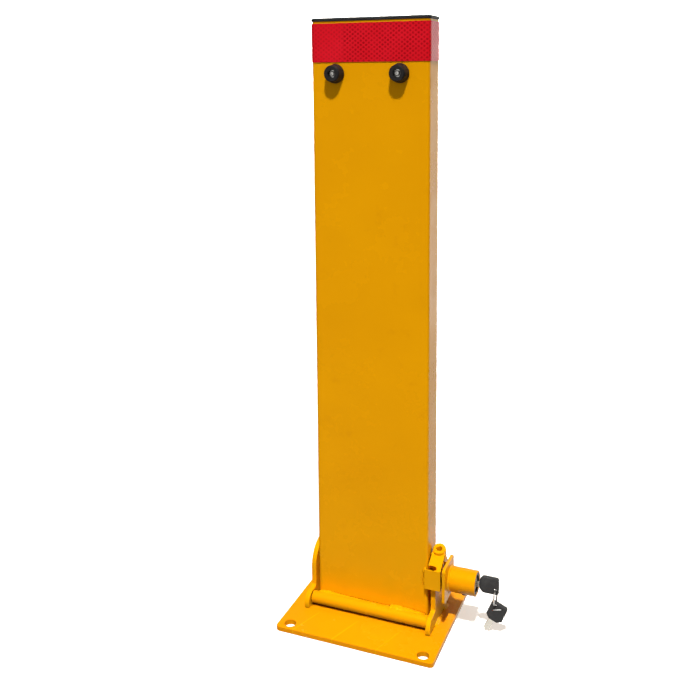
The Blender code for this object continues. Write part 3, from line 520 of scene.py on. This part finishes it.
def welds(paint, glinting):
    """All the welds and the spatter round them."""
    barrel_weld(paint)
    corner_weld("bracket_weld", "post", (BRACKET_LEFT_X, POST_FRONT_Y, 46.6 * MM),
                (BRACKET_LEFT_X, POST_FRONT_Y, 65.8 * MM), ((-1, 0, 0), (0, -1, 0)), 3.1 * MM, 3.0, paint)
    for side, sign in (("left", -1), ("right", 1)):
        ear_x = sign * EAR_OUTER_X
        for end, low, high, seed in (("front", -12.5, 0.5, 5.0), ("rear", 17.5, 30.5, 7.0)):
            corner_weld(f"{side}_{end}_tack_weld", "base", (ear_x, low * MM, PLATE_TOP_Z),
                        (ear_x, high * MM, PLATE_TOP_Z), ((sign, 0, 0), (0, 0, 1)),
                        2.9 * MM, seed + sign, paint)
    housing_weld(paint)
    spatter("post_weld_spatter", "post", (
        ((56.5, -18.0, 18.6), (0, 0.3, 1), 0.75), ((-21.0, -17.4, 18.3), (0, 0.4, 1), 0.75),
        ((-16.6, -18.2, 18.6), (0, 0.3, 1), 0.55), ((61.9, -12.6, 69.5), (0, -0.5, 0.85), 0.6),
        ((58.7, -16.4, 65.9), (-0.4, -0.8, 0.5), 0.55), ((66.4, -16.5, 65.0), (0, -1, 0.1), 0.5),
        ((53.0, -12.0, 55.0), (0, -1, 0), 0.55), ((51.6, -12.0, 60.5), (0, -1, 0), 0.4)), glinting)
    spatter("base_weld_spatter", "base", (
        ((56.2, -29.0, 5.0), (0, 0, 1), 0.7), ((60.5, -33.5, 5.0), (0, 0, 1), 0.45),
        ((76.3, 33.5, 5.0), (0, 0, 1), 0.6), ((68.4, 9.0, 9.2), (1, 0, 0.2), 0.55),
        ((77.3, -16.3, 44.2), (0, -1, 0), 0.55), ((83.4, -4.1, 55.1), (0, -0.85, 0.5), 0.6),
        ((-76.0, 12.0, 5.0), (0, 0, 1), 0.6), ((-72.5, -17.0, 5.0), (0, 0, 1), 0.45),
        ((74.8, -17.0, 5.0), (0, 0, 1), 0.5)), glinting)


def spare_key_mark(line_colour):
    """White line in the slit of the spare key's grip."""
    half_length = 4.3 * MM
    half_width = 0.62 * MM
    lean = radians(14)
    centre_x = 127.42 * MM
    centre_z = 26.08 * MM
    back_y = 5.1 * MM
    rim_y = 4.5 * MM
    face_y = 4.42 * MM
    steps = 24
    outline = []
    for index in range(steps):
        angle = 2 * pi * (index + 0.5) / steps
        along = half_width * cos(angle) + (half_length - half_width) * (1 if cos(angle) > 0 else -1)
        outline.append((along, half_width * sin(angle)))
    rings = []
    for y, inset in ((back_y, 0.0), (rim_y, 0.0), (face_y, 0.08 * MM)):
        shrink = 1 - inset / half_width
        rings.append([(centre_x + u * cos(lean) - v * shrink * sin(lean), y,
                       centre_z + u * sin(lean) + v * shrink * cos(lean)) for u, v in outline])
    add_piece("spare_key_mark", lofted(rings), line_colour, "spare_key")


# Stage ---------------------------------------------------------------------------------------------

def stage():
    """Pale floor that curves up into a backdrop all round, seen but giving the object no bounce light."""
    cove_steps = 10
    profile = [(0.0, 0.0), (FLOOR_RADIUS, 0.0)]
    for step in range(1, cove_steps + 1):
        angle = pi / 2 * step / cove_steps
        profile.append((FLOOR_RADIUS + COVE_RADIUS * sin(angle), COVE_RADIUS * (1 - cos(angle))))
    profile += [(FLOOR_RADIUS + COVE_RADIUS, WALL_TOP), (0.0, ROOF_TOP)]
    tool = bmesh.new()
    points = [tool.verts.new((radius, 0, height)) for radius, height in profile]
    edges = [tool.edges.new(pair) for pair in zip(points, points[1:])]
    bmesh.ops.spin(tool, geom=points + edges, cent=(0, 0, 0), axis=(0, 0, 1), angle=2 * pi, steps=64,
                   use_merge=True)
    bmesh.ops.remove_doubles(tool, verts=tool.verts[:], dist=1e-5)
    bmesh.ops.recalc_face_normals(tool, faces=tool.faces[:])
    bmesh.ops.reverse_faces(tool, faces=tool.faces[:])
    mesh = bpy.data.meshes.new("floor")
    tool.to_mesh(mesh)
    tool.free()
    mesh.shade_smooth()
    floor = bpy.data.objects.new("floor", mesh)
    floor.location.z = -0.3 * MM
    bpy.context.scene.collection.objects.link(floor)
    paper = Paint("floor_paper", (0.8, 0.8, 0.8), 0.9, specular=0.0)
    paper.set("Emission Color", (1.0, 0.9, 0.8, 1.0))
    paper.set("Emission Strength", 0.55)
    mesh.materials.append(paper.material)
    floor.visible_diffuse = False
    floor.visible_glossy = False
    floor.visible_shadow = False


def reflector(name, centre, across, up, strength):
    """Glowing studio panel that shows only as a reflection. across and up are its half sides."""
    mesh = bpy.data.meshes.new(name)
    centre = Vector(centre)
    across = Vector(across)
    up = Vector(up)
    corners = [centre - across - up, centre + across - up, centre + across + up, centre - across + up]
    mesh.from_pydata(corners, [], [(0, 1, 2, 3)])
    glow = Paint(name, (0.0, 0.0, 0.0), 1.0, specular=0.0)
    glow.set("Emission Color", (1.0, 0.97, 0.93, 1.0))
    glow.set("Emission Strength", strength)
    mesh.materials.append(glow.material)
    panel = bpy.data.objects.new(name, mesh)
    bpy.context.scene.collection.objects.link(panel)
    panel.visible_camera = False
    panel.visible_diffuse = False
    panel.visible_shadow = False
    panel.visible_transmission = False


def reflectors():
    """Panels behind to the right, on the floor to the right, in front, behind, and overhead."""
    reflector("side_reflector", (0.8, 1.5, 0.1), (0.47, 0, 0), (0, 0, 0.78), 1.6)
    reflector("floor_reflector", (0.344, 0.4, -0.002), (0.26, 0, 0), (0, 0.6, 0), 1.0)
    reflector("front_reflector", (-0.6, -2.0, -0.35), (1.1, 0, 0), (0, 0, 1.35), 0.8)
    reflector("rear_reflector", (-0.2, 1.5, 0.85), (0.2, 0, 0), (0, 0, 0.22), 0.9)
    reflector("overhead_reflector", (-0.2, -1.2, 1.9), (1.2, 0, 0), (0, 0.7, 0.0), 0.9)


def lights():
    """Lamp high at the front right that keeps the whole object evenly lit."""
    lamp_data = bpy.data.lights.new("key_light", "POINT")
    lamp_data.energy = KEY_POWER
    lamp_data.color = (1.0, 0.985, 0.96)
    lamp_data.shadow_soft_size = KEY_RADIUS
    lamp_data.use_nodes = True
    tree = lamp_data.node_tree
    falloff = tree.nodes.new("ShaderNodeLightFalloff")
    falloff.inputs["Strength"].default_value = 1.0 / KEY_DISTANCE
    path = tree.nodes.new("ShaderNodeLightPath")
    growing = tree.nodes.new("ShaderNodeMath")
    growing.operation = "MULTIPLY"
    tree.links.new(falloff.outputs["Constant"], growing.inputs[0])
    tree.links.new(path.outputs["Ray Length"], growing.inputs[1])
    tree.links.new(growing.outputs["Value"], tree.nodes["Emission"].inputs["Strength"])
    lamp = bpy.data.objects.new("key_light", lamp_data)
    lamp.location = KEY_PLACE
    bpy.context.scene.collection.objects.link(lamp)


def surround():
    """Pale light from all round, brighter near the horizon behind and to the left, for the unlit sides."""
    world = bpy.data.worlds.new("surround")
    bpy.context.scene.world = world
    world.use_nodes = True
    world.cycles_visibility.glossy = False
    tree = world.node_tree
    direction = tree.nodes.new("ShaderNodeSeparateXYZ")
    coords = tree.nodes.new("ShaderNodeTexCoord")
    tree.links.new(coords.outputs["Generated"], direction.inputs["Vector"])
    total = tree.nodes.new("ShaderNodeMath")
    total.operation = "MULTIPLY_ADD"
    total.inputs[1].default_value = REAR_GLOW
    total.inputs[2].default_value = SURROUND_STRENGTH
    share = None
    for axis, start, full in REAR_WINDOWS:
        window = tree.nodes.new("ShaderNodeMapRange")
        tree.links.new(direction.outputs[axis], window.inputs["Value"])
        window.inputs["From Min"].default_value = start
        window.inputs["From Max"].default_value = full
        if share is None:
            share = window.outputs["Result"]
            continue
        product = tree.nodes.new("ShaderNodeMath")
        product.operation = "MULTIPLY"
        tree.links.new(share, product.inputs[0])
        tree.links.new(window.outputs["Result"], product.inputs[1])
        share = product.outputs["Value"]
    tree.links.new(share, total.inputs[0])
    background = tree.nodes["Background"]
    background.inputs["Color"].default_value = (1.0, 0.98, 0.95, 1.0)
    tree.links.new(total.outputs["Value"], background.inputs["Strength"])


def camera():
    """The photograph's camera: just below the post's top, in front and to the lock's side."""
    forward = Vector((sin(CAMERA_AZIMUTH) * cos(CAMERA_PITCH), cos(CAMERA_AZIMUTH) * cos(CAMERA_PITCH),
                      -sin(CAMERA_PITCH)))
    right = Vector((cos(CAMERA_AZIMUTH), -sin(CAMERA_AZIMUTH), 0))
    up = right.cross(forward)
    turned_right = cos(CAMERA_ROLL) * right + sin(CAMERA_ROLL) * up
    turned_up = cos(CAMERA_ROLL) * up - sin(CAMERA_ROLL) * right
    data = bpy.data.cameras.new("camera")
    data.sensor_width = CAMERA_SENSOR
    data.lens = CAMERA_LENS
    data.shift_y = CAMERA_SHIFT
    data.clip_start = 0.01
    data.clip_end = 60.0
    made = bpy.data.objects.new("camera", data)
    rotation = Matrix((turned_right, turned_up, -forward)).transposed().to_4x4()
    made.matrix_world = Matrix.Translation(CAMERA_PLACE) @ rotation
    bpy.context.scene.collection.objects.link(made)
    bpy.context.scene.camera = made


camera()
coat = yellow_paint("yellow_powder_coat")
dress_frame(coat)
welds(coat, yellow_paint("glinting_coat", glint=1.0))
spare_key_mark(white_line_colour())
stage()
reflectors()
lights()
surround()
bpy.context.scene.view_settings.view_transform = "Standard"
